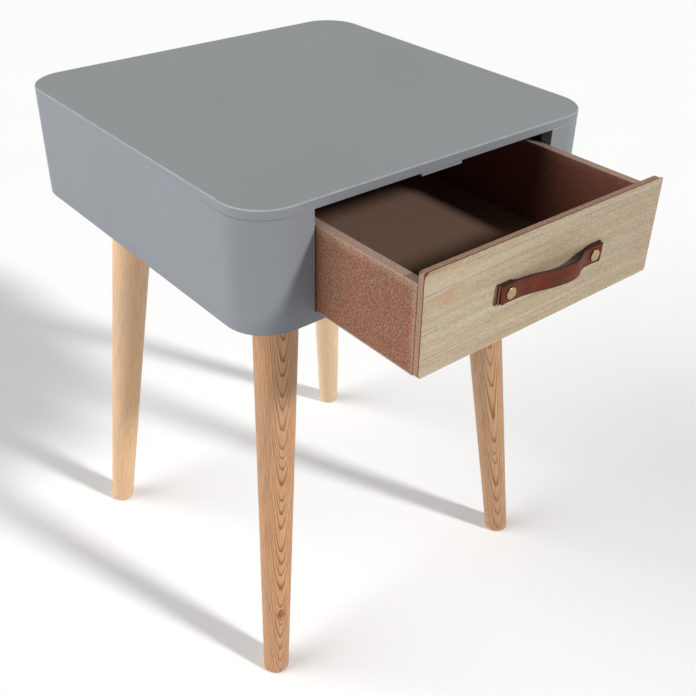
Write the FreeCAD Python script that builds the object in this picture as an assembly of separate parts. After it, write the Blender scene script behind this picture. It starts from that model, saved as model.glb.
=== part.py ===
import FreeCAD, Part
import math
import os

# Side table with one inset drawer, in millimetres. +X is right, -Y is the front, +Z is up.
# The origin is on the floor, midway between the four feet. The drawer stands part open.

V = FreeCAD.Vector
UP = V(0, 0, 1)
DOWN = V(0, 0, -1)
BACK = V(0, 1, 0)
RIGHT = V(1, 0, 0)

# ---- cabinet ----
table_width = 400.0
table_depth = 400.0
table_height = 550.0
cabinet_height = 112.0
corner_radius = 40.0
top_thickness = 9.0
top_edge_round = 1.5
top_seam_chamfer = 0.5
bottom_thickness = 10.0
bottom_edge_round = 1.0
wall_thickness = 12.0
opening_width = 278.0
guide_width = 12.0
guide_height = 20.0
kicker_width = 47.0
kicker_thickness = 2.5
kicker_shift = -2.5

# ---- legs ----
leg_top_inset = 72.5
foot_inset = 28.0
leg_top_radius = 21.9
foot_radius = 13.2
foot_round = 3.0
block_size = 70.0
block_thickness = 18.0
block_corner_round = 6.0

# ---- drawer ----
drawer_pull = 123.5
drawer_length = 380.0
drawer_side_gap = 1.5
side_drop = 11.0
board_thickness = 9.0
drawer_bottom_thickness = 2.0
front_thickness = 6.0
face_thickness = 1.0
front_gap = 0.5
front_corner = 2.0
front_right_corner = 5.0
face_corner = 2.0
face_left_corner = 6.0
back_board_gap = 1.0

# ---- leather handle ----
strap_width = 17.0
strap_thickness = 2.0
strap_lift = 1.0
strap_rise = 8.5
strap_crown_shift = 14.0
strap_flat_past_hole = 6.5
strap_end_reach = 10.0
strap_end_round = 1.5
handle_hole_spacing = 100.0
spacer_thickness = 1.6
spacer_step = 3.0
spacer_length = 21.0

# ---- fasteners ----
fit_gap = 0.1
dowel_radius = 4.0
dowel_depth_in_top = 6.0
dowel_depth_in_post = 20.0
dowel_spacing = 16.0
bolt_radius = 4.0
bolt_depth_in_leg = 32.0
insert_radius = 6.0
insert_length = 14.0
carcass_screw_radius = 2.0
carcass_screw_length = 35.0
carcass_screw_head = 4.0
carcass_screw_head_height = 2.5
block_screw_radius = 1.75
block_screw_length = 16.0
block_screw_head = 3.5
block_screw_head_height = 2.2
block_screw_bite = 8.0
block_screw_edge = 8.0
nail_radius = 0.8
nail_length = 25.0
pin_radius = 0.6
pin_length = 12.0
pins_per_side = 4
post_barrel_radius = 2.5
post_bore_radius = 1.8
post_flange_radius = 5.0
post_flange_thickness = 1.2
screw_shank_radius = 1.7
screw_head_radius = 5.5
screw_head_height = 2.6

# ---- sizes that follow from the ones above ----
half_width = table_width / 2
half_depth = table_depth / 2
cabinet_floor = table_height - cabinet_height
bay_floor = cabinet_floor + bottom_thickness
bay_ceiling = table_height - top_thickness
wall_height = bay_ceiling - bay_floor
front_plane = -half_depth
jamb_back = front_plane + wall_thickness
back_wall_front = half_depth - wall_thickness
half_opening = opening_width / 2
half_drawer = half_opening - drawer_side_gap
kicker_floor = bay_ceiling - kicker_thickness

face_front = front_plane - drawer_pull
board_front = face_front + face_thickness
board_back = board_front + front_thickness
drawer_rear = face_front + drawer_length
side_floor = bay_floor + drawer_bottom_thickness
front_floor = bay_floor + front_gap
front_ceiling = kicker_floor - front_gap
front_height = front_ceiling - front_floor
side_ceiling = front_ceiling - side_drop
side_height = side_ceiling - side_floor
handle_height = (front_floor + front_ceiling) / 2 + strap_lift
strap_seat = 2 * spacer_thickness
half_spacing = handle_hole_spacing / 2


def box(x0, x1, y0, y1, z0, z1):
    return Part.makeBox(x1 - x0, y1 - y0, z1 - z0, V(x0, y0, z0))


def rod(radius, start, end):
    return Part.makeCylinder(radius, (end - start).Length, start, end - start)


def arc_edge(centre, radius, start_angle, end_angle, to_point):
    """Arc in a plane: to_point turns plane coordinates (u, v) into a 3-D point."""
    def at(angle):
        a = math.radians(angle)
        return to_point(centre[0] + radius * math.cos(a), centre[1] + radius * math.sin(a))
    return Part.Arc(at(start_angle), at((start_angle + end_angle) / 2), at(end_angle)).toShape()


def rounded_face(half_u, half_v, radii, to_point):
    """Rectangle of half_u by half_v round (0, 0). radii: +u+v, -u+v, -u-v, +u-v corners."""
    signs = [(1, 1), (-1, 1), (-1, -1), (1, -1)]
    edges = []
    ends = []
    for number, ((su, sv), radius) in enumerate(zip(signs, radii)):
        centre = (su * (half_u - radius), sv * (half_v - radius))
        arc = arc_edge(centre, radius, 90 * number, 90 * number + 90, to_point)
        edges.append(arc)
        ends.append((arc.valueAt(arc.FirstParameter), arc.valueAt(arc.LastParameter)))
    sides = []
    for number in range(4):
        start = ends[number][1]
        end = ends[(number + 1) % 4][0]
        sides.append(edges[number])
        if (end - start).Length > 1e-6:
            sides.append(Part.makeLine(start, end))
    return Part.Face(Part.Wire(sides))


def cabinet_plate(z0, z1):
    """Flat board over the whole plan of the cabinet, with its four large round corners."""
    plan = rounded_face(half_width, half_depth, [corner_radius] * 4, lambda u, v: V(u, v, z0))
    return plan.extrude(V(0, 0, z1 - z0))


def rim_at(board, z):
    """Edges of a cabinet board that lie at height z."""
    return [e for e in board.Edges if abs(e.BoundBox.ZMin - z) < 1e-6 and abs(e.BoundBox.ZMax - z) < 1e-6]


def round_rim(board, z, radius):
    return board.makeFillet(radius, rim_at(board, z))


def drill(board, holes):
    for hole in holes:
        board = board.cut(hole)
    return board


# ---- dowels between the top and the corner posts ----

def dowel_places():
    near = corner_radius / 2 - dowel_spacing / 2
    far = near + dowel_spacing
    for sx in (-1, 1):
        for sy in (-1, 1):
            inner_x = half_width - corner_radius
            inner_y = half_depth - corner_radius
            yield V(sx * (inner_x + near), sy * (inner_y + far), bay_ceiling)
            yield V(sx * (inner_x + far), sy * (inner_y + near), bay_ceiling)


def dowels(clearance):
    down = V(0, 0, dowel_depth_in_post)
    up = V(0, 0, dowel_depth_in_top)
    return [rod(dowel_radius - clearance, p - down, p + up) for p in dowel_places()]


# ---- screws up through the bottom panel ----

def carcass_screw_places():
    post_x = half_width - corner_radius * 0.6
    post_y = half_depth - corner_radius * 0.6
    wall_x = half_width - wall_thickness / 2
    wall_y = half_depth - wall_thickness / 2
    side_y = (half_depth - corner_radius) / 2
    back_x = (half_width - corner_radius) / 2
    for sx in (-1, 1):
        yield V(sx * post_x, -post_y, cabinet_floor)
        yield V(sx * post_x, post_y, cabinet_floor)
        yield V(sx * wall_x, -side_y, cabinet_floor)
        yield V(sx * wall_x, side_y, cabinet_floor)
        yield V(sx * back_x, wall_y, cabinet_floor)


def countersunk_screw(place, radius, length, head_radius, head_height, clearance):
    """Screw that points up, with the flat of its head at place."""
    shank = Part.makeCylinder(radius - clearance, length - clearance, place, UP)
    head = Part.makeCone(head_radius - clearance, radius - clearance, head_height, place, UP)
    return shank.fuse(head)


def carcass_screws(clearance):
    return [countersunk_screw(place, carcass_screw_radius, carcass_screw_length, carcass_screw_head,
                              carcass_screw_head_height, clearance) for place in carcass_screw_places()]


# ---- legs, their blocks and bolts ----

CORNERS = {
    "front_left": (-1, -1),
    "front_right": (1, -1),
    "back_left": (-1, 1),
    "back_right": (1, 1),
}


def leg_axis(sx, sy):
    """Foot centre on the floor, the point under the block and the unit direction between them."""
    foot = V(sx * (half_width - foot_inset), sy * (half_depth - foot_inset), 0)
    head = V(sx * (half_width - leg_top_inset), sy * (half_depth - leg_top_inset), cabinet_floor)
    direction = head - foot
    seat = foot + direction * ((cabinet_floor - block_thickness) / cabinet_floor)
    return foot, seat, V(direction).normalize()


def bolt_hole(sx, sy, clearance):
    _, seat, axis = leg_axis(sx, sy)
    reach = insert_length - clearance
    return rod(bolt_radius - clearance, seat - axis * (bolt_depth_in_leg - clearance), seat + axis * reach)


def insert_hole(sx, sy, clearance):
    _, seat, axis = leg_axis(sx, sy)
    return rod(insert_radius - clearance, seat, seat + axis * (insert_length - clearance))


def block_screw_places(sx, sy):
    _, seat, _ = leg_axis(sx, sy)
    reach = block_size / 2 - block_screw_edge
    for ux in (-1, 1):
        for uy in (-1, 1):
            yield V(seat.x + ux * reach, seat.y + uy * reach, cabinet_floor - block_screw_bite)


def block_screws(sx, sy, clearance):
    return [countersunk_screw(place, block_screw_radius, block_screw_length, block_screw_head,
                              block_screw_head_height, clearance) for place in block_screw_places(sx, sy)]


def make_leg_block(sx, sy):
    """Wedge under the bottom panel, with its lower face square to the leaning leg."""
    _, seat, axis = leg_axis(sx, sy)
    half = block_size / 2
    deep = 2 * block_thickness
    plan = rounded_face(half, half, [block_corner_round] * 4,
                        lambda u, v: V(seat.x + u, seat.y + v, cabinet_floor))
    block = plan.extrude(V(0, 0, -deep))
    below = Part.makeCylinder(2 * block_size, 2 * deep, seat, V(0, 0, 0) - axis)
    block = block.cut(below)
    holes = [insert_hole(sx, sy, 0)] + block_screws(sx, sy, 0)
    for place in block_screw_places(sx, sy):
        holes.append(Part.makeCylinder(block_screw_head, deep, place, DOWN))
    return drill(block, holes)


def make_leg(sx, sy):
    """Tapered round leg, square at the top, cut level at the floor and rounded there."""
    foot, seat, axis = leg_axis(sx, sy)
    taper = (leg_top_radius - foot_radius) / cabinet_floor
    spare = foot_radius
    start = foot - axis * spare
    top_radius = foot_radius + taper * seat.z
    leg = Part.makeCone(foot_radius - taper * spare, top_radius, (seat - start).Length, start, axis)
    ground = box(-table_width, table_width, -table_depth, table_depth, -2 * spare, 0)
    leg = leg.cut(ground)
    rim = [edge for edge in leg.Edges if edge.BoundBox.ZMax < 1e-3]
    leg = leg.makeFillet(foot_round, rim)
    return leg.cut(bolt_hole(sx, sy, 0))


# ---- cabinet boards ----

def make_top_panel():
    """Top board, with a small chamfer under its rim that shows as a seam over the walls."""
    board = round_rim(cabinet_plate(bay_ceiling, table_height), table_height, top_edge_round)
    board = board.makeChamfer(top_seam_chamfer, rim_at(board, bay_ceiling))
    return drill(board, dowels(0))


def make_bottom_panel():
    board = round_rim(cabinet_plate(cabinet_floor, bay_floor), cabinet_floor, bottom_edge_round)
    board = drill(board, carcass_screws(0))
    for sx, sy in CORNERS.values():
        board = drill(board, block_screws(sx, sy, 0))
    return board


def make_corner_post(sx, sy):
    """Quarter-round post that gives the cabinet its round corner."""
    centre = V(sx * (half_width - corner_radius), sy * (half_depth - corner_radius), bay_floor)
    post = Part.makeCylinder(corner_radius, wall_height, centre, UP)
    x_out = sx * half_width
    y_out = sy * half_depth
    quarter = box(min(centre.x, x_out), max(centre.x, x_out), min(centre.y, y_out), max(centre.y, y_out),
                  bay_floor, bay_ceiling)
    return drill(post.common(quarter), dowels(0) + carcass_screws(0))


def make_side_wall(sx):
    edge = half_depth - corner_radius
    outer = sx * half_width
    inner = sx * (half_width - wall_thickness)
    wall = box(min(outer, inner), max(outer, inner), -edge, edge, bay_floor, bay_ceiling)
    return drill(wall, carcass_screws(0))


def make_back_wall():
    edge = half_width - corner_radius
    wall = box(-edge, edge, back_wall_front, half_depth, bay_floor, bay_ceiling)
    return drill(wall, carcass_screws(0))


def make_front_jamb(sx):
    outer = sx * (half_width - corner_radius)
    inner = sx * half_opening
    return box(min(outer, inner), max(outer, inner), front_plane, jamb_back, bay_floor, bay_ceiling)


def make_drawer_guide(sx):
    near = sx * half_opening
    far = sx * (half_opening + guide_width)
    return box(min(near, far), max(near, far), jamb_back, back_wall_front, bay_floor, bay_floor + guide_height)


def make_kicker_strip():
    left = kicker_shift - kicker_width / 2
    return box(left, left + kicker_width, front_plane, back_wall_front, kicker_floor, bay_ceiling)


# ---- drawer ----

def drawer_nail_rods(clearance):
    """Nails through the front board into the sides, and through the sides into the back board."""
    side_middle = half_drawer - board_thickness / 2
    back_middle = drawer_rear - board_thickness / 2
    heights = [side_floor + side_height * share for share in (0.25, 0.75)]
    reach = nail_length - clearance
    nails = []
    for sx in (-1, 1):
        for z in heights:
            front = V(sx * side_middle, board_front, z)
            rear = V(sx * half_drawer, back_middle, z)
            nails.append(rod(nail_radius - clearance, front, front + BACK * reach))
            nails.append(rod(nail_radius - clearance, rear, rear - RIGHT * (sx * reach)))
    return nails


def bottom_pin_rods(clearance):
    """Pins up through the thin bottom into the lower edges of the sides."""
    side_middle = half_drawer - board_thickness / 2
    span = drawer_rear - board_back
    pins = []
    for number in range(pins_per_side):
        y = board_back + span * (number + 0.5) / pins_per_side
        for sx in (-1, 1):
            foot = V(sx * side_middle, y, bay_floor)
            pins.append(rod(pin_radius - clearance, foot, foot + UP * (pin_length - clearance)))
    return pins


def handle_holes(y0, y1):
    return [rod(post_barrel_radius + fit_gap, V(x, y0, handle_height), V(x, y1, handle_height))
            for x in handle_places()]


def front_sheet(radii, y0, thickness):
    middle = (front_floor + front_ceiling) / 2
    outline = rounded_face(half_drawer, front_height / 2, radii, lambda u, v: V(u, y0, middle + v))
    return drill(outline.extrude(BACK * thickness), handle_holes(face_front, board_back))


def make_drawer_front():
    board = front_sheet([front_right_corner, front_corner, front_corner, front_corner],
                        board_front, front_thickness)
    return drill(board, drawer_nail_rods(0))


def make_drawer_face():
    return front_sheet([face_corner, face_left_corner, face_corner, face_corner], face_front, face_thickness)


def make_drawer_side(sx):
    outer = sx * half_drawer
    inner = sx * (half_drawer - board_thickness)
    board = box(min(outer, inner), max(outer, inner), board_back, drawer_rear,
                side_floor, side_ceiling)
    return drill(board, drawer_nail_rods(0) + bottom_pin_rods(0))


def make_drawer_back():
    edge = half_drawer - board_thickness
    board = box(-edge, edge, drawer_rear - board_thickness, drawer_rear, side_floor, kicker_floor - back_board_gap)
    return drill(board, drawer_nail_rods(0))


def make_drawer_bottom():
    sheet = box(-half_drawer, half_drawer, board_back, drawer_rear, bay_floor, side_floor)
    return drill(sheet, bottom_pin_rods(0))


# ---- leather handle ----

def handle_places():
    return (-half_spacing, half_spacing)


def strap_point(u, v):
    """Point on the strap's lower edge, u from the strap's middle and v out from the drawer's face."""
    return V(u, face_front - v, handle_height - strap_width / 2)


def rise_arcs(foot, offset):
    """Two equal arcs that carry the strap from its flat end at foot up to its crown."""
    length = abs(strap_crown_shift - foot)
    side = math.copysign(1, foot - strap_crown_shift)
    radius = (length ** 2 + strap_rise ** 2) / (4 * strap_rise)
    turn = math.degrees(2 * math.atan2(strap_rise, length))
    low = (foot, strap_seat + radius)
    high = (strap_crown_shift, strap_seat + strap_rise - radius)
    return [
        arc_edge(low, radius - offset, 270, 270 - side * turn, strap_point),
        arc_edge(high, radius + offset, 90, 90 - side * turn, strap_point),
    ]


def strap_curve(offset):
    """Edges of the strap's long curve, from its left end to its right, offset outwards.

    The strap lies flat at both ends and bows out between them, most of all to the right.
    """
    end = half_spacing + strap_end_reach
    flat = half_spacing - strap_flat_past_hole
    level = strap_seat + offset
    return [
        Part.makeLine(strap_point(-end, level), strap_point(-flat, level)),
        *rise_arcs(-flat, offset),
        *rise_arcs(flat, offset),
        Part.makeLine(strap_point(flat, level), strap_point(end, level)),
    ]


def curve_ends(edges):
    first = edges[0].Vertexes[0].Point
    last = edges[-1].Vertexes[-1].Point
    return first, last


def make_handle_strap():
    inner = strap_curve(0)
    outer = strap_curve(strap_thickness)
    inner_left, inner_right = curve_ends(inner)
    outer_left, outer_right = curve_ends(outer)
    caps = [Part.makeLine(inner_left, outer_left), Part.makeLine(inner_right, outer_right)]
    outline = Part.Wire(Part.__sortEdges__(inner + outer + caps))
    strap = Part.Face(outline).extrude(UP * strap_width)
    corners = [edge for edge in strap.Edges if is_end_corner(edge)]
    strap = strap.makeFillet(strap_end_round, corners)
    return drill(strap, handle_holes(face_front - 2 * strap_seat, face_front))


def is_end_corner(edge):
    """True for the short edges across the strap's thickness at its four corners."""
    across = edge.BoundBox.YLength
    flat = edge.BoundBox.XLength < 1e-6 and edge.BoundBox.ZLength < 1e-6
    return flat and abs(across - strap_thickness) < 1e-6


def make_strap_spacer(sx, layer):
    """Leather layer under one end of the strap. layer 0 lies on the drawer's face."""
    reach = strap_end_reach + spacer_step * (1 - layer)
    tip = sx * (half_spacing + reach)
    root = tip - sx * spacer_length
    y1 = face_front - spacer_thickness * layer
    spacer = box(min(tip, root), max(tip, root), y1 - spacer_thickness, y1,
                 handle_height - strap_width / 2, handle_height + strap_width / 2)
    return drill(spacer, handle_holes(face_front - strap_seat, face_front))


def make_handle_screw(x):
    """Domed brass head on the strap, with a shank down the barrel."""
    seat = face_front - strap_seat - strap_thickness
    dome_radius = (screw_head_radius ** 2 + screw_head_height ** 2) / (2 * screw_head_height)
    centre = V(x, seat - screw_head_height + dome_radius, handle_height)
    ball = Part.makeSphere(dome_radius, centre)
    slab = box(x - dome_radius, x + dome_radius, seat - screw_head_height, seat,
               handle_height - dome_radius, handle_height + dome_radius)
    shank = rod(screw_shank_radius, V(x, seat, handle_height), V(x, board_back, handle_height))
    return ball.common(slab).fuse(shank)


def make_handle_post(x):
    """Barrel with a flange inside the drawer, which the domed screw turns into."""
    seat = face_front - strap_seat - strap_thickness
    tip = board_back + post_flange_thickness
    barrel = rod(post_barrel_radius, V(x, seat, handle_height), V(x, tip, handle_height))
    flange = rod(post_flange_radius, V(x, board_back, handle_height), V(x, tip, handle_height))
    bore = rod(post_bore_radius, V(x, seat, handle_height), V(x, board_back, handle_height))
    return barrel.fuse(flange).cut(bore)


def group(shapes):
    return Part.makeCompound(shapes)


def save(name, shape):
    shape.exportStep(os.path.join("parts", name + ".step"))


def main():
    os.makedirs("parts", exist_ok=True)
    sides = {"left": -1, "right": 1}

    save("top_panel", make_top_panel())
    save("bottom_panel", make_bottom_panel())
    save("back_wall", make_back_wall())
    save("kicker_strip", make_kicker_strip())
    for side, sx in sides.items():
        save("side_wall_" + side, make_side_wall(sx))
        save("front_jamb_" + side, make_front_jamb(sx))
        save("drawer_guide_" + side, make_drawer_guide(sx))
        save("drawer_side_" + side, make_drawer_side(sx))
        save("strap_spacer_inner_" + side, make_strap_spacer(sx, 0))
        save("strap_spacer_outer_" + side, make_strap_spacer(sx, 1))
    for corner, (sx, sy) in CORNERS.items():
        save("corner_post_" + corner, make_corner_post(sx, sy))
        save("leg_block_" + corner, make_leg_block(sx, sy))
        save("leg_" + corner, make_leg(sx, sy))

    save("drawer_front", make_drawer_front())
    save("drawer_face", make_drawer_face())
    save("drawer_back", make_drawer_back())
    save("drawer_bottom", make_drawer_bottom())
    save("handle_strap", make_handle_strap())

    places = CORNERS.values()
    bolts = [bolt_hole(sx, sy, fit_gap) for sx, sy in places]
    inserts = [insert_hole(sx, sy, fit_gap).cut(bolt_hole(sx, sy, 0)) for sx, sy in places]
    wedge_screws = [screw for sx, sy in places for screw in block_screws(sx, sy, fit_gap)]
    save("hanger_bolts", group(bolts))
    save("threaded_inserts", group(inserts))
    save("leg_block_screws", group(wedge_screws))
    save("carcass_screws", group(carcass_screws(fit_gap)))
    save("top_dowels", group(dowels(fit_gap)))
    save("drawer_nails", group(drawer_nail_rods(fit_gap)))
    save("bottom_pins", group(bottom_pin_rods(fit_gap)))
    save("handle_screws", group([make_handle_screw(x) for x in handle_places()]))
    save("handle_posts", group([make_handle_post(x) for x in handle_places()]))


main()
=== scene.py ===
import math

import bmesh
import bpy
from mathutils import Matrix, Vector, noise


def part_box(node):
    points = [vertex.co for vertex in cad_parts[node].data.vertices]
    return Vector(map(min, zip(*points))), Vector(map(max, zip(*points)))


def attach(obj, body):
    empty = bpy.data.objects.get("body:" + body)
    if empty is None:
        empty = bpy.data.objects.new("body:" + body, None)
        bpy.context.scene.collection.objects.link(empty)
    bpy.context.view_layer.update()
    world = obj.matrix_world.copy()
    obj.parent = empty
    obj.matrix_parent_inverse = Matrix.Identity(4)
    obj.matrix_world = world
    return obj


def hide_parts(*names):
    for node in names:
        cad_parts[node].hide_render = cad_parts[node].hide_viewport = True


# A side table: a painted cabinet on four turned legs, with a drawer that slides out of its front.
# Places and sizes come from the CAD nodes, in metres. Meshes with more detail than their CAD nodes
# replace the drawer's boards and its leather handle.

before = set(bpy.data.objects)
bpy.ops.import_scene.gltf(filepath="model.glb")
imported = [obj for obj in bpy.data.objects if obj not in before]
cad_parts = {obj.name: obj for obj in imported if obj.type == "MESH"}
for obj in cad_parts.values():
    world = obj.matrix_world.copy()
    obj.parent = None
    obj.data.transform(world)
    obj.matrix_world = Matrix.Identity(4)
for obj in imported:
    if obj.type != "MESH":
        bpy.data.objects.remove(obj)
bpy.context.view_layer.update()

MM = 0.001
FOOT_RADIUS = 13.2 * MM
CORNERS = ("front_left", "front_right", "back_left", "back_right")
SIDES = ("left", "right")


# ---------------------------------------------------------------- node graphs

class Graph:
    """A material's node tree, with short calls for the nodes used here."""

    def __init__(self, name):
        self.material = bpy.data.materials.new(name)
        self.material.use_nodes = True
        self.tree = self.material.node_tree
        self.shader = self.tree.nodes["Principled BSDF"]
        self.place = self.add("ShaderNodeTexCoord").outputs["Object"]

    def add(self, kind, *values, **settings):
        """New node. values fill its first inputs in order, and settings are its properties by name."""
        node = self.tree.nodes.new(kind)
        for name, value in settings.items():
            setattr(node, name, value)
        for socket, value in zip(node.inputs, values):
            self.feed(socket, value)
        return node

    def feed(self, socket, value):
        """Link value to socket if it is another node's output, or else set it there."""
        if isinstance(value, bpy.types.NodeSocket):
            self.tree.links.new(value, socket)
        elif value is not None:
            socket.default_value = value

    def math(self, operation, a, b=None, clamp=False):
        """The result of one arithmetic operation on a and b."""
        return self.add("ShaderNodeMath", a, b, operation=operation, use_clamp=clamp).outputs[0]

    def scaled(self, scale, shift=(0, 0, 0), place=None):
        """Coordinates stretched by scale and shifted."""
        node = self.add("ShaderNodeMapping", place or self.place)
        node.inputs["Location"].default_value = shift
        node.inputs["Scale"].default_value = scale
        return node.outputs[0]

    def turned(self, turn, shift):
        """Coordinates turned by the angles in turn, then shifted."""
        node = self.add("ShaderNodeMapping", self.place)
        node.inputs["Rotation"].default_value = turn
        node.inputs["Location"].default_value = shift
        return node.outputs[0]

    def near(self, point, reach, place=None):
        """1 at point, falling smoothly to 0 at reach from it."""
        node = self.add("ShaderNodeVectorMath", place or self.place, tuple(point), operation="DISTANCE")
        return self.span(node.outputs["Value"], 0.0, reach, 1.0, 0.0)

    def noise(self, place, scale, detail=2.0, roughness=0.5, distortion=0.0):
        """Cloudy pattern from 0 to 1, with scale clouds or so to the metre."""
        node = self.add("ShaderNodeTexNoise")
        self.feed(node.inputs["Vector"], place)
        node.inputs["Scale"].default_value = scale
        node.inputs["Detail"].default_value = detail
        node.inputs["Roughness"].default_value = roughness
        node.inputs["Distortion"].default_value = distortion
        return node.outputs[0]

    def cells(self, place, scale):
        """Distance to the nearest of many scattered points."""
        node = self.add("ShaderNodeTexVoronoi")
        self.feed(node.inputs["Vector"], place)
        node.inputs["Scale"].default_value = scale
        return node.outputs["Distance"]

    def span(self, value, low, high, to_low=0.0, to_high=1.0):
        """value from low to high becomes to_low to to_high, smoothly, and no further."""
        node = self.add("ShaderNodeMapRange", value, low, high, to_low, to_high,
                        interpolation_type="SMOOTHSTEP")
        return node.outputs[0]

    def ramp(self, value, stops):
        """Colour that follows value through stops of position and colour."""
        node = self.add("ShaderNodeValToRGB", value)
        ramp = node.color_ramp
        while len(ramp.elements) < len(stops):
            ramp.elements.new(0.5)
        for element, (position, colour) in zip(ramp.elements, stops):
            element.position = position
            element.color = (*colour, 1.0)
        return node.outputs[0]

    def mix(self, factor, a, b):
        """Colour a where factor is 0 and b where it is 1."""
        node = self.add("ShaderNodeMix", data_type="RGBA")
        self.feed(node.inputs[0], factor)
        for socket, value in ((node.inputs[6], a), (node.inputs[7], b)):
            self.feed(socket, (*value, 1.0) if isinstance(value, tuple) else value)
        return node.outputs[2]

    def axis(self, letter, place=None):
        """The X, Y or Z part of place."""
        return self.add("ShaderNodeSeparateXYZ", place or self.place).outputs["XYZ".index(letter)]

    def bump(self, height, depth, strength=1.0, over=None):
        """Surface relief of depth metres, on top of the relief in over."""
        node = self.add("ShaderNodeBump")
        node.inputs["Strength"].default_value = strength
        node.inputs["Distance"].default_value = depth
        self.feed(node.inputs["Height"], height)
        if over:
            self.feed(node.inputs["Normal"], over)
        return node.outputs[0]

    def finish(self, colour, roughness, normal=None, **constants):
        """The finished material. constants are shader inputs, with _ for each space in the name."""
        self.feed(self.shader.inputs["Base Color"], colour)
        self.feed(self.shader.inputs["Roughness"], roughness)
        if normal:
            self.feed(self.shader.inputs["Normal"], normal)
        for name, value in constants.items():
            self.shader.inputs[name.replace("_", " ")].default_value = value
        return self.material


# ---------------------------------------------------------------- materials

def painted(name, colour, seam_facing=None, rim_height=None, side_colour=None):
    """Satin roller paint: fine orange peel, faint clouding, dust nibs and a painted highlight along the
    upper rim.

    seam_facing is which way the faces inside the joint under the top look, up 1 or down -1.
    Those faces are lightened, as painted light against the joint's shade.
    A board with side_colour has that colour on its sides and colour on its top.
    """
    g = Graph(name)
    cloud = g.noise(g.place, 6.0, 2.0)
    grime = g.noise(g.place, 70.0, 5.0, 0.7)
    peel = g.noise(g.place, 900.0, 3.0, 0.6)
    nibs = g.span(g.cells(g.place, 160.0), 0.0, 0.07, 1.0, 0.0)
    tone = g.mix(g.span(cloud, 0.3, 0.7), shade(colour, 0.985), shade(colour, 1.02))
    tone = g.mix(g.span(grime, 0.55, 0.8, 0.0, 0.10), tone, shade(colour, 0.72))
    tone = g.mix(g.math("MULTIPLY", nibs, 0.25), tone, shade(colour, 1.2))
    if side_colour:
        side = g.span(g.axis("Z"), rim_height - 1.6 * MM, rim_height - 1.0 * MM, 1.0, 0.0)
        tone = g.mix(side, tone, side_colour)
    # Painted light: the faces inside the joint under the top are lightened so that its shade hardly shows.
    if seam_facing:
        tone = g.mix(painted_seam_light(g, seam_facing), tone, shade(side_colour or colour, 2.4))
    # Painted highlight: a thin band just under the top edge is lightened, unevenly.
    if rim_height:
        inner = g.span(g.axis("Z"), rim_height - 1.1 * MM, rim_height - 0.4 * MM)
        outer = g.span(g.axis("Z"), rim_height - 0.25 * MM, rim_height - 0.02 * MM, 1.0, 0.0)
        pale_rim = g.math("MULTIPLY", g.math("MULTIPLY", inner, outer), g.span(grime, 0.35, 0.65, 0.05, 0.4))
        tone = g.mix(pale_rim, tone, shade(colour, 1.9))
    rough = g.span(grime, 0.3, 0.7, 0.58, 0.63)
    relief = g.bump(peel, 0.12 * MM, 0.5)
    relief = g.bump(nibs, 0.3 * MM, 0.4, relief)
    return g.finish(tone, rough, relief, Specular_IOR_Level=0.34)


def painted_seam_light(g, seam_facing):
    """Mask of the faces inside the joint under the top, lightened as painted light against its shade.
    The joint stays dark round the front left corner.
    """
    low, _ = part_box("top_panel")
    facing = g.axis("Z", g.add("ShaderNodeNewGeometry").outputs["True Normal"])
    inside = g.span(g.math("MULTIPLY", facing, seam_facing), 0.4, 0.6)
    corner = (low.x + 20 * MM, low.y + 20 * MM, low.z)
    seam_left_dark = g.near(corner, 75 * MM)
    return g.math("MULTIPLY", inside, g.math("SUBTRACT", 1.0, seam_left_dark))


def shade(colour, amount):
    """colour made darker or lighter by amount."""
    return tuple(min(1.0, amount * part) for part in colour)


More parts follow.
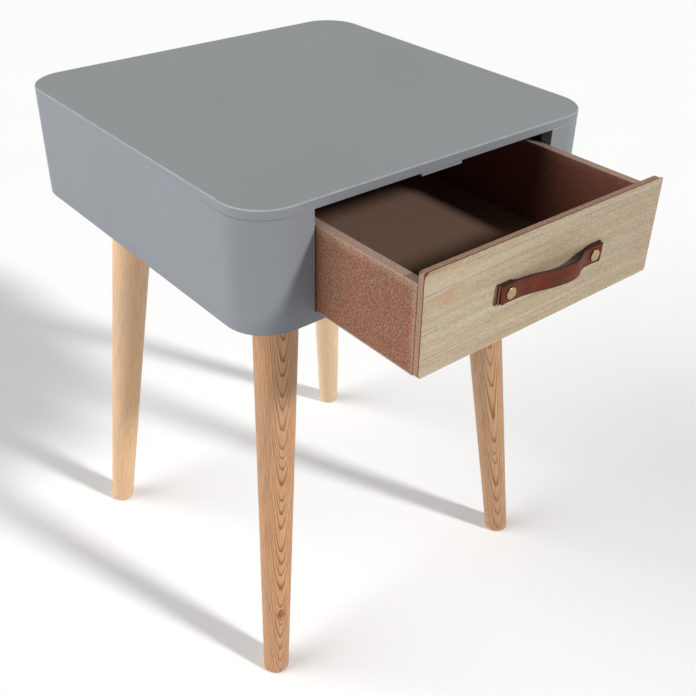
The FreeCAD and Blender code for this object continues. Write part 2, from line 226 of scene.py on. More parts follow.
def leg_wood(corner, pale, dark, ring, pith, lean, facing, line_strength, knot_height=None):
    """Tapered pine leg. Growth rings about a leaning pith are cut by the leg into arches.

    ring is a ring's width, pith the distance of the rings' middle from the leg's axis, lean its
    slope along the leg, and facing the direction in plan, in degrees, of the side that shows the
    arches. line_strength is how dark the late wood is, from 0 to 1. knot_height is the height of
    the knot on that side, where the leg has one.
    """
    foot, top = leg_ends(corner)
    turn = (top - foot).normalized().rotation_difference(Vector((0, 0, 1))).to_euler()
    g = Graph("pine_" + corner)
    local = g.turned(turn, -(turn.to_matrix() @ foot))
    side = Vector((math.cos(math.radians(facing)), math.sin(math.radians(facing)), 0))
    x, y, z = (g.axis(letter, local) for letter in "XYZ")
    offset = g.math("ADD", g.math("MULTIPLY", z, lean), pith)
    from_x = g.math("ADD", x, g.math("MULTIPLY", offset, side.x))
    from_y = g.math("ADD", y, g.math("MULTIPLY", offset, side.y))
    reach = g.math("SQRT", g.math("ADD", g.math("POWER", from_x, 2.0), g.math("POWER", from_y, 2.0)))
    sway = g.noise(g.scaled((1, 1, 0.22), place=local), 38.0, 2.0)
    waver = g.noise(g.scaled((1, 1, 0.15), place=local), 260.0, 2.0)
    reach = g.math("ADD", reach, g.math("MULTIPLY", sway, 4.5 * MM))
    reach = g.math("ADD", reach, g.math("MULTIPLY", waver, 0.35 * MM))
    if knot_height:
        centre = side * 16 * MM + Vector((0, 0, knot_height))
        around = g.near(centre, 10 * MM, local)
        reach = g.math("SUBTRACT", reach, g.math("MULTIPLY", around, 1.5 * MM))
    uneven = g.noise(g.add("ShaderNodeCombineXYZ", g.math("MULTIPLY", reach, 260.0)).outputs[0], 1.0, 1.0)
    age = g.math("ADD", g.math("DIVIDE", reach, ring), g.math("MULTIPLY", uneven, 2.2))
    late = g.ramp(g.math("FRACT", age), [(0.0, (0.1,) * 3), (0.08, (0, 0, 0)), (0.6, (0.05,) * 3),
                                         (0.88, (1, 1, 1)), (0.94, (1, 1, 1)), (1.0, (0.1,) * 3)])
    fibre = g.noise(g.scaled((1, 1, 0.02), place=local), 1500.0, 3.0, 0.6)
    broad = g.noise(g.scaled((1, 1, 0.2), place=local), 34.0, 3.0)
    tone = g.mix(g.span(broad, 0.3, 0.7), (pale[0] * 1.06, pale[1], pale[2] * 0.86), shade(pale, 0.9))
    strength = g.span(broad, 0.3, 0.75, line_strength, 0.6 * line_strength)
    tone = g.mix(g.math("MULTIPLY", late, strength), tone, dark)
    tone = g.mix(g.span(fibre, 0.42, 0.72, 0.0, 0.42), tone, dark)
    tone = g.mix(g.span(fibre, 0.58, 0.25, 0.0, 0.25), tone, shade(pale, 1.25))
    if knot_height:
        heart = g.math("MULTIPLY", g.near(centre, 9 * MM, local), g.span(waver, 0.3, 0.6))
        tone = g.mix(heart, tone, shade(dark, 0.95))
    rough = g.span(fibre, 0.3, 0.7, 0.44, 0.62)
    relief = g.bump(g.math("ADD", g.math("MULTIPLY", fibre, 0.6), late), 0.12 * MM, 0.6)
    return g.finish(tone, rough, relief)


def leg_ends(corner):
    """Foot centre on the floor and the middle of the leg's top, from the leg's own box."""
    low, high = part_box("leg_" + corner)
    block_low, block_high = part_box("leg_block_" + corner)
    side = -1 if "left" in corner else 1
    depth = -1 if "front" in corner else 1
    foot_x = (low.x if side < 0 else high.x) - side * FOOT_RADIUS
    foot_y = (low.y if depth < 0 else high.y) - depth * FOOT_RADIUS
    top = (block_low + block_high) / 2
    return Vector((foot_x, foot_y, 0)), Vector((top.x, top.y, high.z))


def fibreboard(name, base, warm, flecks, pale, rim=None, shade_and_glue=None):
    """Bare brown fibreboard with pressed fibres.

    rim and the dark mask, where given, are functions that make the masks of its pale and dark parts.
    The dark parts are painted shade on the drawer sides' inner faces and glue on the drawer front.
    The rim's function is also given two of the patterns here, broad and fine.
    """
    # Colour of the painted shade inside the drawer, and of the glue on its front.
    shade_and_glue_colour = (0.100, 0.025, 0.013)
    g = Graph(name)
    fine = g.noise(g.place, 1500.0, 3.0, 0.7)
    grit = g.noise(g.place, 780.0, 3.0, 0.65)
    chips = g.cells(g.place, 800.0)
    patch = g.noise(g.place, 34.0, 5.0, 0.65)
    scuffs = g.noise(g.scaled((1, 0.25, 1)), 420.0, 2.0, 0.5, 0.8)
    tone = g.mix(g.span(patch, 0.38, 0.64), base, warm)
    tone = g.mix(g.span(grit, 0.50, 0.62, 0.0, 0.8), tone, flecks)
    tone = g.mix(g.span(grit, 0.49, 0.38, 0.0, 0.75), tone, shade(base, 0.5))
    tone = g.mix(g.span(fine, 0.5, 0.66, 0.0, 0.62), tone, flecks)
    tone = g.mix(g.span(chips, 0.0, 0.34, 0.7, 0.0), tone, shade(base, 0.4))
    tone = g.mix(g.span(scuffs, 0.70, 0.76, 0.0, 0.35), tone, pale)
    if rim:
        tone = g.mix(rim(g, patch, grit), tone, pale)
    # Painted shade on the drawer sides' inner faces; glue and a chip on the drawer front.
    if shade_and_glue:
        tone = g.mix(shade_and_glue(g), tone, shade_and_glue_colour)
    rough = g.span(fine, 0.3, 0.7, 0.72, 0.92)
    relief = g.bump(g.math("ADD", fine, grit), 0.3 * MM, 0.5)
    return g.finish(tone, rough, relief, Specular_IOR_Level=0.3)


def side_rim(g, patch, grit):
    """Mask of the fuzzy, worn edges of a drawer side: along its top and at its front end."""
    low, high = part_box("drawer_side_left")
    z = g.axis("Z")
    y = g.axis("Y")
    ragged = g.math("MULTIPLY", g.math("SUBTRACT", patch, 0.5), 14 * MM)
    band = g.span(g.math("ADD", z, ragged), high.z - 9 * MM, high.z - 2 * MM, 0.0, 0.42)
    arris = g.span(z, high.z - 1.6 * MM, high.z - 0.7 * MM, 0.0, 0.45)
    front = g.span(g.math("ADD", y, ragged), low.y + 1 * MM, low.y + 8 * MM, 0.5, 0.0)
    rim = g.math("MAXIMUM", g.math("ADD", band, arris), front)
    return g.math("MULTIPLY", rim, g.span(grit, 0.35, 0.6, 0.35, 1.0), clamp=True)


def inner_face_shade(g):
    """Mask of a drawer side's inner face, which looks towards the drawer's middle: painted shade."""
    facing = g.axis("X", g.add("ShaderNodeNewGeometry").outputs["True Normal"])
    outwards = g.math("MULTIPLY", facing, g.math("SIGN", g.axis("X")))
    return g.span(outwards, -0.9, -0.4, 0.75, 0.0)


def front_rim(g, _, grit):
    """Mask of the drawer front's sawn edges, a little paler than its faces."""
    low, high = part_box("drawer_front")
    z = g.span(g.axis("Z"), high.z - 1.2 * MM, high.z - 0.4 * MM)
    left = g.span(g.axis("X"), low.x + 0.4 * MM, low.x + 1.2 * MM, 1.0, 0.0)
    return g.math("MULTIPLY", g.math("MAXIMUM", z, left), g.span(grit, 0.4, 0.6, 0.3, 0.85))


def glued_front(g):
    """Mask of the glue squeezed out between the drawer front and its veneer, and of one dark chip."""
    low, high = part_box("drawer_front")
    glue = g.span(g.axis("Y"), low.y + 0.35 * MM, low.y + 0.85 * MM, 0.95, 0.0)
    chip = g.near((low.x + 1 * MM, high.y - 1.5 * MM, high.z - 1 * MM), 2.2 * MM)
    return g.math("MAXIMUM", glue, chip)


def sheet_edge(g, _, grit):
    """Mask of the pale sawn edge round a thin sheet."""
    facing = g.axis("Z", g.add("ShaderNodeNewGeometry").outputs["True Normal"])
    edge = g.span(g.math("ABSOLUTE", facing), 0.25, 0.6, 0.8, 0.0)
    return g.math("MULTIPLY", edge, g.span(grit, 0.3, 0.6, 0.6, 1.0))


def veneer(name):
    """Pale straight-grained veneer, browner to the right, with stripes, dashes and one warm patch."""
    ground = (0.352, 0.264, 0.164)
    pale_ground = (0.370, 0.309, 0.212)
    right_brown = (0.268, 0.200, 0.130)
    dark_stripe = (0.275, 0.192, 0.112)
    pale_stripe = (0.480, 0.412, 0.300)
    dark_line = (0.185, 0.112, 0.055)
    dark_dash = (0.205, 0.138, 0.075)
    pale_fibre = (0.52, 0.45, 0.34)
    warm_streak = (0.42, 0.19, 0.095)
    dried_glue = (0.045, 0.022, 0.014)
    g = Graph(name)
    low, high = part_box("drawer_face")
    sway = g.math("MULTIPLY", g.noise(g.place, 5.0, 1.0), 5 * MM)
    slope = g.math("MULTIPLY", g.axis("X"), -0.012)
    lifted = g.add("ShaderNodeCombineXYZ", 0.0, 0.0, g.math("ADD", sway, slope)).outputs[0]
    bent = g.add("ShaderNodeVectorMath", g.place, lifted, operation="ADD").outputs[0]
    cast = g.noise(g.scaled((3, 1, 60), place=bent), 1.0, 2.0)
    stripes = g.noise(g.scaled((4, 1, 230), place=bent), 1.0, 2.0, 0.6)
    lines = g.noise(g.scaled((9, 1, 640), (3, 0, 7), bent), 1.0, 2.0, 0.5)
    dashes = g.noise(g.scaled((75, 1, 1100), (0, 0, 3), bent), 1.0, 1.0, 0.5)
    fibre = g.noise(g.scaled((420, 1, 1900), place=bent), 1.0, 3.0, 0.65)
    streaks = g.noise(g.scaled((22, 1, 620), (5, 0, 1), bent), 1.0, 1.0)
    tone = g.mix(g.span(cast, 0.40, 0.60), ground, pale_ground)
    tone = g.mix(g.span(g.axis("X"), low.x, high.x, 0.0, 0.75), tone, right_brown)
    tone = g.mix(g.span(stripes, 0.52, 0.66, 0.0, 0.5), tone, dark_stripe)
    tone = g.mix(g.span(stripes, 0.46, 0.34, 0.0, 0.3), tone, pale_stripe)
    tone = g.mix(g.span(lines, 0.58, 0.68, 0.0, 0.5), tone, dark_line)
    tone = g.mix(g.span(dashes, 0.56, 0.68, 0.0, 0.28), tone, dark_dash)
    tone = g.mix(g.span(fibre, 0.55, 0.40, 0.0, 0.4), tone, pale_fibre)
    patch = warm_patch(g, Vector((low.x + 27 * MM, low.y, high.z - 24 * MM)))
    reddish = g.math("MULTIPLY", patch, g.span(streaks, 0.48, 0.62, 0.0, 0.7))
    tone = g.mix(reddish, tone, warm_streak)
    tone = g.mix(glue_line(g), tone, dried_glue)
    rough = g.span(fibre, 0.3, 0.7, 0.5, 0.68)
    relief = g.bump(g.math("SUBTRACT", fibre, dashes), 0.14 * MM, 0.6)
    return g.finish(tone, rough, relief, Specular_IOR_Level=0.35)


def warm_patch(g, centre):
    """Mask of a low, wide patch of reddish streaks round centre."""
    flattening = 2.4
    squat = Vector((centre.x, centre.y, flattening * centre.z))
    return g.near(squat, 24 * MM, g.scaled((1, 1, flattening)))


def glue_line(g):
    """Mask of the dark glue that shows round the back of the veneer's edge."""
    _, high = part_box("drawer_face")
    return g.span(g.axis("Y"), high.y - 0.5 * MM, high.y - 0.25 * MM)


def leather(name, base, edge, cut):
    """Waxed leather with small grain and creases, burnished long edges and raw cut ends."""
    g = Graph(name)
    grain = g.cells(g.place, 1300.0)
    crease = g.noise(g.scaled((0.5, 1, 1)), 260.0, 4.0, 0.65, 0.6)
    mottle = g.noise(g.place, 70.0, 4.0, 0.6)
    fuzz = g.noise(g.place, 900.0, 3.0)
    low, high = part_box("handle_strap")
    away = g.math("ABSOLUTE", g.math("SUBTRACT", g.axis("Z"), (low.z + high.z) / 2))
    reach = (high.z - low.z) / 2
    border = g.span(away, reach - 2.2 * MM, reach - 0.4 * MM, 0.0, 0.8)
    tone = g.mix(g.span(mottle, 0.3, 0.7), base, shade(base, 1.5))
    tone = g.mix(g.span(crease, 0.55, 0.75, 0.0, 0.35), tone, shade(base, 0.55))
    tone = g.mix(border, tone, edge)
    tone = g.mix(g.math("MULTIPLY", cut_ends(g), g.span(fuzz, 0.3, 0.7, 0.55, 1.0)), tone, cut)
    rough = g.span(crease, 0.35, 0.7, 0.45, 0.62)
    relief = g.bump(g.math("ADD", grain, g.math("MULTIPLY", crease, 1.6)), 0.2 * MM, 0.5)
    return g.finish(tone, rough, relief, Specular_IOR_Level=0.2)


def cut_ends(g):
    """Mask of faces that look along the strap: its cut ends and those of its layers."""
    facing = g.axis("X", g.add("ShaderNodeNewGeometry").outputs["True Normal"])
    return g.span(g.math("ABSOLUTE", facing), 0.8, 0.95)


def metal(name, colour, smoothest, roughest, marks_scale):
    """Machined metal with fine turning marks and a little tarnish."""
    g = Graph(name)
    marks = g.noise(g.scaled(marks_scale), 1.0, 3.0, 0.7)
    tarnish = g.noise(g.place, 420.0, 4.0, 0.65)
    tone = g.mix(g.span(tarnish, 0.45, 0.75, 0.0, 0.5), colour, shade(colour, 0.62))
    rough = g.span(marks, 0.3, 0.7, smoothest, roughest)
    relief = g.bump(marks, 0.04 * MM, 0.35)
    return g.finish(tone, rough, relief, Metallic=1.0)


def bare_wood(name, pale, dark, grain):
    """Planed secondary wood, with its grain along the axis that is stretched least."""
    g = Graph(name)
    rings = g.noise(g.scaled(grain), 1.0, 3.0, 0.6)
    fibre = g.noise(g.scaled(tuple(5 * stretch for stretch in grain)), 1.0, 2.0)
    tone = g.mix(g.span(rings, 0.35, 0.7), pale, dark)
    tone = g.mix(g.span(fibre, 0.5, 0.75, 0.0, 0.3), tone, dark)
    rough = g.span(fibre, 0.3, 0.7, 0.6, 0.75)
    return g.finish(tone, rough, g.bump(fibre, 0.2 * MM, 0.4))


def kicker_paint(name, paint, pale, dark):
    """Bare batten, painted only on its front end and just behind it."""
    g = Graph(name)
    low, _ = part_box("kicker_strip")
    grain = g.noise(g.scaled((300, 8, 300)), 1.0, 3.0)
    ragged = g.math("MULTIPLY", g.noise(g.place, 300.0, 2.0), 3 * MM)
    front = g.span(g.math("ADD", g.axis("Y"), ragged), low.y + 3 * MM, low.y + 5 * MM, 1.0, 0.0)
    tone = g.mix(g.span(grain, 0.35, 0.7), pale, dark)
    tone = g.mix(front, tone, paint)
    rough = g.span(grain, 0.3, 0.7, 0.5, 0.7)
    return g.finish(tone, rough, g.bump(grain, 0.2 * MM, 0.3))


# ---------------------------------------------------------------- mesh pieces

def new_object(name, mesh_builder, material, body):
    """Object from a filled bmesh, with smooth shading and normals weighted by face area."""
    mesh = bpy.data.meshes.new(name)
    bmesh.ops.recalc_face_normals(mesh_builder, faces=mesh_builder.faces)
    mesh_builder.to_mesh(mesh)
    mesh_builder.free()
    mesh.shade_smooth()
    mesh.materials.append(material)
    obj = bpy.data.objects.new(name, mesh)
    bpy.context.scene.collection.objects.link(obj)
    weighted = obj.modifiers.new("even_faces", "WEIGHTED_NORMAL")
    weighted.keep_sharp = True
    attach(obj, body)
    return obj


def round_outline(half_u, half_v, radii, steps=8):
    """Rectangle round (0, 0) with its +u+v, -u+v, -u-v and +u-v corners rounded by radii."""
    signs = ((1, 1), (-1, 1), (-1, -1), (1, -1))
    points = []
    for number, ((su, sv), radius) in enumerate(zip(signs, radii)):
        for step in range(steps + 1):
            angle = math.radians(90 * (number + step / steps))
            points.append((su * (half_u - radius) + radius * math.cos(angle),
                           sv * (half_v - radius) + radius * math.sin(angle)))
    return points


SHARP_BEND = 0.6
SLIGHT_BEND = 0.15


def slab(outline, thickness, at, edge_round, cell, wear):
    """Board with softened, slightly worn edges. at turns (u, v, depth) into a point."""
    bm = bmesh.new()
    corners = [bm.verts.new(at(u, v, 0.0)) for u, v in outline]
    bm.faces.new(corners)
    behind = [bm.verts.new(at(u, v, thickness)) for u, v in outline]
    bm.faces.new(list(reversed(behind)))
    for number in range(len(corners)):
        after = (number + 1) % len(corners)
        bm.faces.new([corners[after], corners[number], behind[number], behind[after]])
    split_into_cells(bm, cell)
    sharp = [edge for edge in bm.edges
             if len(edge.link_faces) == 2 and edge.calc_face_angle() > SHARP_BEND]
    bmesh.ops.bevel(bm, geom=sharp, offset=edge_round, segments=3, profile=0.5, affect="EDGES")
    roughen_edges(bm, wear)
    return bm


def split_into_cells(bm, cell):
    """Cut the mesh by planes along each axis, so that no face is much longer than cell."""
    for axis in range(3):
        values = [vert.co[axis] for vert in bm.verts]
        low, high = min(values), max(values)
        count = int((high - low) / cell)
        normal = Vector((0, 0, 0))
        normal[axis] = 1.0
        for number in range(1, count + 1):
            point = Vector((0, 0, 0))
            point[axis] = low + (high - low) * number / (count + 1)
            everything = bm.verts[:] + bm.edges[:] + bm.faces[:]
            bmesh.ops.bisect_plane(bm, geom=everything, plane_co=point, plane_no=normal)


def roughen_edges(bm, wear):
    """Push the rounded edges in a little, unevenly, as handling does."""
    centre = sum((vert.co for vert in bm.verts), Vector()) / len(bm.verts)
    for vert in bm.verts:
        angles = [edge.calc_face_angle(0.0) for edge in vert.link_edges if len(edge.link_faces) == 2]
        if max(angles, default=0.0) < SLIGHT_BEND:
            continue
        broad = noise.noise(vert.co * 160)
        fine = noise.noise(vert.co * 900)
        amount = wear * (0.5 + 0.5 * broad) + 0.5 * wear * fine
        vert.co -= (vert.co - centre).normalized() * max(0.0, amount)


def box_slab(node, edge_round, cell, wear, clearance=0.0):
    """Board of a CAD node's size and place, with its underside raised by clearance."""
    low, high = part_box(node)
    low = low + Vector((0, 0, clearance))
    middle = (low + high) / 2
    half = (high - low) / 2
    outline = [(half.y, half.z), (-half.y, half.z), (-half.y, -half.z), (half.y, -half.z)]

    def at(u, v, depth):
        return Vector((low.x + depth, middle.y + u, middle.z + v))
    return slab(outline, high.x - low.x, at, edge_round, cell, wear)


def front_slab(node, radii, edge_round, wear):
    """Board of the drawer front, with its own corner radii, seen from the front."""
    low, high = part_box(node)
    middle = (low + high) / 2
    outline = round_outline((high.x - low.x) / 2, (high.z - low.z) / 2, radii)

    def at(u, v, depth):
        return Vector((middle.x + u, low.y + depth, middle.z + v))
    return slab(outline, high.y - low.y, at, edge_round, cell=9 * MM, wear=wear)


def lathe(profile, centre, axis, steps):
    """Turn (radius, height) points about an axis through centre, in that many steps."""
    bm = bmesh.new()
    turn = Vector((0, 0, 1)).rotation_difference(axis).to_matrix()
    rings = []
    for radius, height in profile:
        if radius < 1e-7:
            rings.append([bm.verts.new(centre + turn @ Vector((0, 0, height)))])
            continue
        ring = []
        for step in range(steps):
            angle = 2 * math.pi * step / steps
            local = Vector((radius * math.cos(angle), radius * math.sin(angle), height))
            ring.append(bm.verts.new(centre + turn @ local))
        rings.append(ring)
    for first, second in zip(rings, rings[1:]):
        join_rings(bm, first, second)
    return bm


def join_rings(bm, first, second):
    """Faces between two rings of vertices. A ring of one vertex closes to a point."""
    count = max(len(first), len(second))
    for step in range(count):
        after = (step + 1) % count
        corners = [first[step % len(first)], first[after % len(first)],
                   second[after % len(second)], second[step % len(second)]]
        kept = list(dict.fromkeys(corners))
        bm.faces.new(kept)


# ---------------------------------------------------------------- leather handle

STRAP_THICKNESS = 2.0 * MM
# The bow's highest point, right of the strap's middle.
CROWN_SHIFT = 14.0 * MM
# The strap stays on its seat this far inwards from each screw.
FLAT_PAST_HOLE = 6.5 * MM
# Each end thins over END_EASE to END_FULLNESS of the strap's thickness, lifts and is cut aslant.
END_EASE = 0.7 * MM
END_FULLNESS = 0.35
END_LIFT = 0.5 * MM
END_SLANT = 0.6 * MM
SCREW_DENT = 0.15 * MM
SCREW_DENT_REACH = 6 * MM
CUP_DEPTH = 0.22 * MM
WAVER_DEPTH = 0.10 * MM
HEAD_HEIGHT = 2.0 * MM
HEAD_SHARE = 0.93
HEAD_BASE_DEPTH = 2.5 * MM


def handle_facts():
    """Places and sizes of the handle, from its CAD pieces."""
    strap_low, strap_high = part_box("handle_strap")
    screw_low, screw_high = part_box("handle_screws")
    face_low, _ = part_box("drawer_face")
    spacer_low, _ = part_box("strap_spacer_outer_left")
    head = (screw_high.z - screw_low.z) / 2
    seat = face_low.y - spacer_low.y
    return {
        "middle": Vector(((strap_low.x + strap_high.x) / 2, face_low.y, (strap_low.z + strap_high.z) / 2)),
        "half_length": (strap_high.x - strap_low.x) / 2,
        "half_width": (strap_high.z - strap_low.z) / 2,
        "seat": seat,
        "rise": face_low.y - strap_low.y - seat - STRAP_THICKNESS,
        "hole": (screw_high.x - screw_low.x) / 2 - head,
        "head": head,
    }


def strap_lift(u, facts):
    """How far the strap's inner face stands off its seat, u from the strap's middle."""
    flat = facts["hole"] - FLAT_PAST_HOLE
    away = abs(u - CROWN_SHIFT)
    length = flat + CROWN_SHIFT if u < CROWN_SHIFT else flat - CROWN_SHIFT
    rise = facts["rise"]
    radius = (length ** 2 + rise ** 2) / (4 * rise)
    if away >= length:
        return 0.0
    if away <= length / 2:
        return rise - radius + math.sqrt(radius ** 2 - away ** 2)
    return radius - math.sqrt(radius ** 2 - (length - away) ** 2)


def divided(outline, gap):
    """The outline's points, with more added so that none are further apart than gap."""
    points = []
    for first, second in zip(outline, outline[1:] + outline[:1]):
        count = max(1, math.ceil(math.dist(first, second) / gap))
        for number in range(count):
            share = number / count
            points.append(tuple(a + (b - a) * share for a, b in zip(first, second)))
    return points


def strap_ring(u, facts):
    """Corners of the strap's section at u from its middle."""
    half_length = facts["half_length"]
    to_end = min(1.0, (half_length - abs(u)) / END_EASE)
    fullness = END_FULLNESS + (1 - END_FULLNESS) * math.sqrt(1 - (1 - to_end) ** 2)
    past = max(0.0, abs(u) - facts["hole"]) / (half_length - facts["hole"])
    pressed = math.exp(-((abs(u) - facts["hole"]) / SCREW_DENT_REACH) ** 2)
    slope = (strap_lift(u + 0.5 * MM, facts) - strap_lift(u - 0.5 * MM, facts)) / MM
    normal = Vector((-slope, -1, 0)).normalized()
    lift = facts["seat"] + strap_lift(u, facts) + END_LIFT * past ** 2 - SCREW_DENT * pressed
    base = facts["middle"] + Vector((u, -lift, 0)) + normal * (STRAP_THICKNESS / 2)
    half_t = fullness * STRAP_THICKNESS / 2
    half_w = facts["half_width"] * (0.985 + 0.015 * fullness)
    outline = round_outline(half_w, half_t, [0.9 * half_t] * 4, steps=4)
    corners = []
    for w, t in divided(outline, gap=1.6 * MM):
        share = w / facts["half_width"]
        cup = CUP_DEPTH * share ** 2
        waver = WAVER_DEPTH * noise.noise(Vector((60 * u, 40 * w, 3.0)))
        back = END_SLANT * past * (1 - share) * math.copysign(1, u)
        corners.append(base + normal * (t - cup + waver) + Vector((-back, 0, w)))
    return corners


def make_strap(material):
    """Leather strap: flat under its screws, bowed between them, with lifted, slanted ends."""
    facts = handle_facts()
    stations = 130
    bm = bmesh.new()
    rings = []
    for number in range(stations + 1):
        u = facts["half_length"] * (2 * number / stations - 1)
        rings.append([bm.verts.new(corner) for corner in strap_ring(u, facts)])
    for first, second in zip(rings, rings[1:]):
        join_rings(bm, first, second)
    bm.faces.new(rings[0])
    bm.faces.new(rings[-1])
    strap = new_object("strap_leather_band", bm, material, "drawer")
    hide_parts("handle_strap")


def make_spacer(side, layer, material):
    """Cut leather layer under one end of the strap, fanned a little and skived thin to its root."""
    node = f"strap_spacer_{layer}_{side}"
    low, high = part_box(node)
    middle = (low + high) / 2
    outwards = -1 if side == "left" else 1
    root = 5.0 * MM
    cut = 0.9 * MM
    radii = [root, cut, cut, root] if side == "left" else [cut, root, root, cut]
    outline = round_outline((high.x - low.x) / 2, (high.z - low.z) / 2, radii, steps=5)
    trim = {"inner": 1.0 * MM, "outer": 0.0}[layer]
    fan = {"inner": 0.09, "outer": 0.04}[layer] * outwards
    pressed = 0.15 * MM
    thickness = high.y - low.y - pressed
    skived = 10 * MM
    thinnest = 0.15

    def at(u, v, depth):
        to_root = (high.x - low.x) / 2 + outwards * u
        full = min(1.0, thinnest + (1 - thinnest) * to_root / skived)
        lean = fan * (v + low.z - middle.z) + outwards * trim * to_root / (high.x - low.x)
        return Vector((middle.x + u - lean, high.y - (thickness - depth) * full, middle.z + v))
    bm = slab(outline, thickness, at, edge_round=0.25 * MM, cell=2 * MM, wear=0.10 * MM)
    spacer = new_object(f"spacer_leather_{layer}_{side}", bm, material, "drawer")
    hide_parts(node)


def head_profile(radius, height):
    """Low domed head with a rolled rim, from its rim to its crown."""
    rim = 0.3 * height
    underside = -0.2 * height
    points = [(0.0, underside), (radius * 0.9, underside), (radius * 0.98, 0.0)]
    for step in range(7):
        angle = math.radians(-20 + 110 * step / 6)
        points.append((radius - rim + rim * math.cos(angle), rim + rim * math.sin(angle)))
    for step in range(1, 9):
        share = 1 - step / 8
        inner = (radius - rim) * share
        points.append((inner, 2 * rim + (height - 2 * rim) * (1 - share ** 2)))
    return points


def make_handle_screws(material):
    """Two domed brass heads on the strap."""
    facts = handle_facts()
    low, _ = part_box("handle_screws")
    profile = head_profile(HEAD_SHARE * facts["head"], HEAD_HEIGHT)
    bm = bmesh.new()
    for sx in (-1, 1):
        centre = Vector((facts["middle"].x + sx * facts["hole"], low.y + HEAD_BASE_DEPTH,
                         facts["middle"].z))
        append(bm, lathe(profile, centre, Vector((0, -1, 0)), steps=48))
    heads = new_object("brass_screw_heads", bm, material, "drawer")
    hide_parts("handle_screws")


def append(bm, other):
    """Move all of other's mesh into bm."""
    mesh = bpy.data.meshes.new("part")
    other.to_mesh(mesh)
    other.free()
    bm.from_mesh(mesh)
    bpy.data.meshes.remove(mesh)


# ---------------------------------------------------------------- drawer boards

FRONT_CORNER_RADII = [5 * MM, 2 * MM, 2 * MM, 2 * MM]
FACE_CORNER_RADII = [2 * MM, 6 * MM, 2 * MM, 2 * MM]


def make_drawer_boards(mdf_sides, mdf_back, mdf_front, face_wood, hardboard):
    """The drawer's box, its front and the veneered sheet, in place of their CAD nodes."""
    for side in SIDES:
        bm = box_slab("drawer_side_" + side, edge_round=0.7 * MM, cell=12 * MM, wear=0.25 * MM)
        board = new_object("fibreboard_side_" + side, bm, mdf_sides, "drawer")
        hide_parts("drawer_side_" + side)
    bm = box_slab("drawer_back", edge_round=0.7 * MM, cell=12 * MM, wear=0.2 * MM)
    back = new_object("fibreboard_back", bm, mdf_back, "drawer")
    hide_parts("drawer_back")
    bm = box_slab("drawer_bottom", edge_round=0.3 * MM, cell=16 * MM, wear=0.1 * MM, clearance=0.1 * MM)
    sheet = new_object("hardboard_bottom", bm, hardboard, "drawer")
    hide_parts("drawer_bottom")
    bm = front_slab("drawer_front", FRONT_CORNER_RADII, edge_round=0.7 * MM, wear=0.2 * MM)
    front = new_object("fibreboard_front", bm, mdf_front, "drawer")
    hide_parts("drawer_front")
    bm = front_slab("drawer_face", FACE_CORNER_RADII, edge_round=0.25 * MM, wear=0.08 * MM)
    face = new_object("veneer_face", bm, face_wood, "drawer")
    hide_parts("drawer_face")


# ---------------------------------------------------------------- CAD nodes

def dress(node, material):
    """Give a CAD node its material."""
    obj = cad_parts[node]
    obj.data.materials.clear()
    obj.data.materials.append(material)


def soften(node, width):
    """Small rounded arrises on a CAD board."""
    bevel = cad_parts[node].modifiers.new("arris", "BEVEL")
    bevel.width = width
    bevel.segments = 2
    bevel.limit_method = "ANGLE"
    bevel.harden_normals = True


def dress_cabinet():
    """Paint the cabinet and its leg blocks, and leave the guides bare."""
    wall_colour = (0.201, 0.216, 0.234)
    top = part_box("top_panel")[1].z
    # The top face is coloured lighter than the same paint on the walls and on the top board's sides:
    # painted light on the top.
    lid = painted("paint_top", (0.258, 0.271, 0.276), seam_facing=-1.0, rim_height=top,
                  side_colour=wall_colour)
    dress("top_panel", lid)
    walls = painted("paint_walls", wall_colour, seam_facing=1.0)
    bottom = painted("paint_bottom", (0.196, 0.211, 0.229))
    dress("bottom_panel", bottom)
    dress("back_wall", walls)
    guides = bare_wood("beech_guides", pale=(0.5, 0.33, 0.19), dark=(0.4, 0.25, 0.14), grain=(250, 6, 250))
    for side in SIDES:
        dress("side_wall_" + side, walls)
        dress("front_jamb_" + side, walls)
        dress("drawer_guide_" + side, guides)
        soften("drawer_guide_" + side, 0.8 * MM)
    for corner in CORNERS:
        dress("corner_post_" + corner, walls)
        dress("leg_block_" + corner, bottom)
        soften("leg_block_" + corner, 1.0 * MM)
    batten = kicker_paint("kicker_batten", paint=wall_colour, pale=(0.5, 0.34, 0.2), dark=(0.4, 0.26, 0.15))
    dress("kicker_strip", batten)


def dress_legs():
    """Warm wood with bold arches on the front legs, and paler, plainer wood on the back legs."""
    latewood = (0.190, 0.055, 0.015)
    dress("leg_front_left", leg_wood(
        "front_left", pale=(0.482, 0.281, 0.150), dark=latewood, ring=1.45 * MM, pith=-60 * MM,
        lean=0.066, facing=254, line_strength=1.0, knot_height=80 * MM))
    dress("leg_front_right", leg_wood(
        "front_right", pale=(0.442, 0.275, 0.156), dark=latewood, ring=1.5 * MM, pith=-60 * MM,
        lean=0.034, facing=238, line_strength=0.95))
    dress("leg_back_left", leg_wood(
        "back_left", pale=(0.655, 0.440, 0.276), dark=(0.42, 0.225, 0.105), ring=1.4 * MM,
        pith=42 * MM, lean=-0.012, facing=330, line_strength=0.45))
    dress("leg_back_right", leg_wood(
        "back_right", pale=(0.585, 0.446, 0.296), dark=(0.46, 0.29, 0.155), ring=1.6 * MM,
        pith=45 * MM, lean=-0.008, facing=300, line_strength=0.4))


def dress_hardware():
    """Materials of the fasteners."""
    steel = metal("zinc_steel", (0.60, 0.60, 0.58), smoothest=0.3, roughest=0.45,
                  marks_scale=(900, 900, 900))
    for node in ("hanger_bolts", "threaded_inserts", "leg_block_screws", "carcass_screws",
                 "drawer_nails", "bottom_pins"):
        dress(node, steel)
    dowels = bare_wood("beech_dowels", pale=(0.55, 0.38, 0.23), dark=(0.45, 0.3, 0.17),
                       grain=(300, 300, 8))
    dress("top_dowels", dowels)
    posts = metal("brass_posts", (0.62, 0.47, 0.22), smoothest=0.25, roughest=0.4,
                  marks_scale=(900, 200, 900))
    dress("handle_posts", posts)


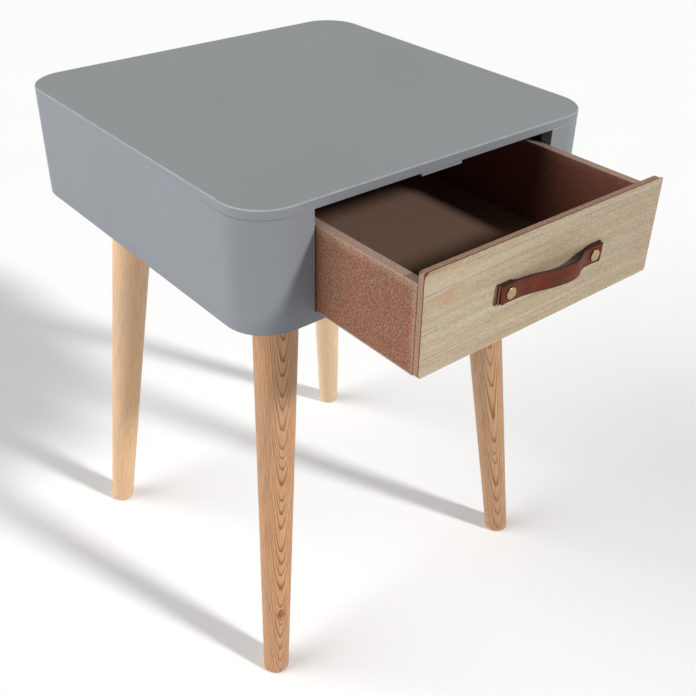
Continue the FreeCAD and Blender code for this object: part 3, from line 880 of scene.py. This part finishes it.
def build_drawer():
    """The drawer's boards and its leather handle."""
    flecks = (0.322, 0.168, 0.102)
    pale_rim = (0.38, 0.275, 0.21)
    # The sides' inner faces are darkened as painted shade.
    mdf_sides = fibreboard("mdf_sides", base=(0.160, 0.072, 0.042), warm=(0.195, 0.064, 0.034),
                           flecks=flecks, pale=pale_rim, rim=side_rim, shade_and_glue=inner_face_shade)
    mdf_back = fibreboard("mdf_back", base=(0.10, 0.046, 0.029), warm=(0.11, 0.042, 0.024),
                          flecks=shade(flecks, 0.6), pale=pale_rim)
    mdf_front = fibreboard("mdf_front", base=(0.205, 0.118, 0.076), warm=(0.230, 0.112, 0.066),
                           flecks=flecks, pale=(0.31, 0.195, 0.132), rim=front_rim, shade_and_glue=glued_front)
    hardboard = fibreboard("hardboard", base=(0.185, 0.110, 0.078), warm=(0.195, 0.106, 0.070),
                           flecks=(0.27, 0.168, 0.12), pale=(0.34, 0.24, 0.17), rim=sheet_edge)
    make_drawer_boards(mdf_sides, mdf_back, mdf_front, veneer("veneer_face_wood"), hardboard)
    band = leather("strap_leather", base=(0.074, 0.0115, 0.002), edge=(0.024, 0.008, 0.004),
                   cut=(0.33, 0.17, 0.11))
    layers = leather("spacer_leather", base=(0.075, 0.020, 0.009), edge=(0.04, 0.013, 0.007),
                     cut=(0.42, 0.25, 0.18))
    make_strap(band)
    for side in SIDES:
        for layer in ("inner", "outer"):
            make_spacer(side, layer, layers)
    brass = metal("brass_heads", (0.42, 0.325, 0.175), smoothest=0.28, roughest=0.44,
                  marks_scale=(300, 300, 300))
    make_handle_screws(brass)


# ---------------------------------------------------------------- studio

def make_floor():
    """Plain pale floor, far wider than the table."""
    floor_radius = 9.0
    bm = bmesh.new()
    bmesh.ops.create_circle(bm, cap_ends=True, segments=96, radius=floor_radius)
    mesh = bpy.data.meshes.new("studio_floor")
    bm.to_mesh(mesh)
    bm.free()
    floor = bpy.data.objects.new("studio_floor", mesh)
    bpy.context.scene.collection.objects.link(floor)
    g = Graph("floor_paper")
    mottle = g.noise(g.place, 3.0, 2.0)
    tone = g.mix(mottle, (0.92, 0.92, 0.92), (0.94, 0.94, 0.94))
    mesh.materials.append(g.finish(tone, roughness=0.85))


def sun_light(name, towards, spread, strength, colour):
    """Even soft light that shines along towards. spread is how wide its source looks, in degrees."""
    data = bpy.data.lights.new(name, "SUN")
    data.angle = math.radians(spread)
    data.energy = strength
    data.color = colour
    light = bpy.data.objects.new(name, data)
    light.rotation_mode = "QUATERNION"
    light.rotation_quaternion = (-Vector(towards)).to_track_quat("Z", "Y")
    bpy.context.scene.collection.objects.link(light)


def make_lights():
    """Soft key light from the front right, broad fill from the left, and a dim surround."""
    sun_light("key", towards=(-0.41, 1.03, -0.72), spread=7.0, strength=2.7, colour=(1.0, 0.99, 0.975))
    sun_light("left_fill", towards=(0.80, -0.42, -0.42), spread=58.0, strength=3.1,
              colour=(0.985, 0.99, 1.0))
    make_sky()


def make_sky():
    """White studio surround: bright round the horizon and dim overhead."""
    world = bpy.data.worlds.new("studio")
    world.use_nodes = True
    tree = world.node_tree
    place = tree.nodes.new("ShaderNodeTexCoord")
    parts = tree.nodes.new("ShaderNodeSeparateXYZ")
    fade = tree.nodes.new("ShaderNodeMapRange")
    fade.inputs["From Min"].default_value = 0.05
    fade.inputs["From Max"].default_value = 0.48
    fade.inputs["To Min"].default_value = 0.76
    fade.inputs["To Max"].default_value = 0.13
    tree.links.new(place.outputs["Generated"], parts.inputs[0])
    tree.links.new(parts.outputs["Z"], fade.inputs[0])
    tree.links.new(fade.outputs[0], tree.nodes["Background"].inputs["Strength"])
    tree.nodes["Background"].inputs["Color"].default_value = (1.0, 1.0, 1.0, 1.0)
    bpy.context.scene.world = world


def make_camera():
    """Camera in front of the table, to its left and above it."""
    place = (-0.5500, -0.7340, 0.8617)
    azimuth = math.radians(-39.94)
    elevation = math.radians(33.66)
    roll = math.radians(1.10)
    data = bpy.data.cameras.new("camera")
    data.sensor_width = 36.0
    data.lens = 49.57
    camera = bpy.data.objects.new("camera", data)
    back = Vector((math.sin(azimuth) * math.cos(elevation), -math.cos(azimuth) * math.cos(elevation),
                   math.sin(elevation)))
    turn = back.to_track_quat("Z", "Y").to_matrix() @ Matrix.Rotation(roll, 3, "Z")
    camera.matrix_world = Matrix.Translation(place) @ turn.to_4x4()
    bpy.context.scene.collection.objects.link(camera)
    bpy.context.scene.camera = camera
    bpy.context.scene.view_settings.view_transform = "Standard"


dress_cabinet()
dress_legs()
dress_hardware()
build_drawer()
make_floor()
make_lights()
make_camera()
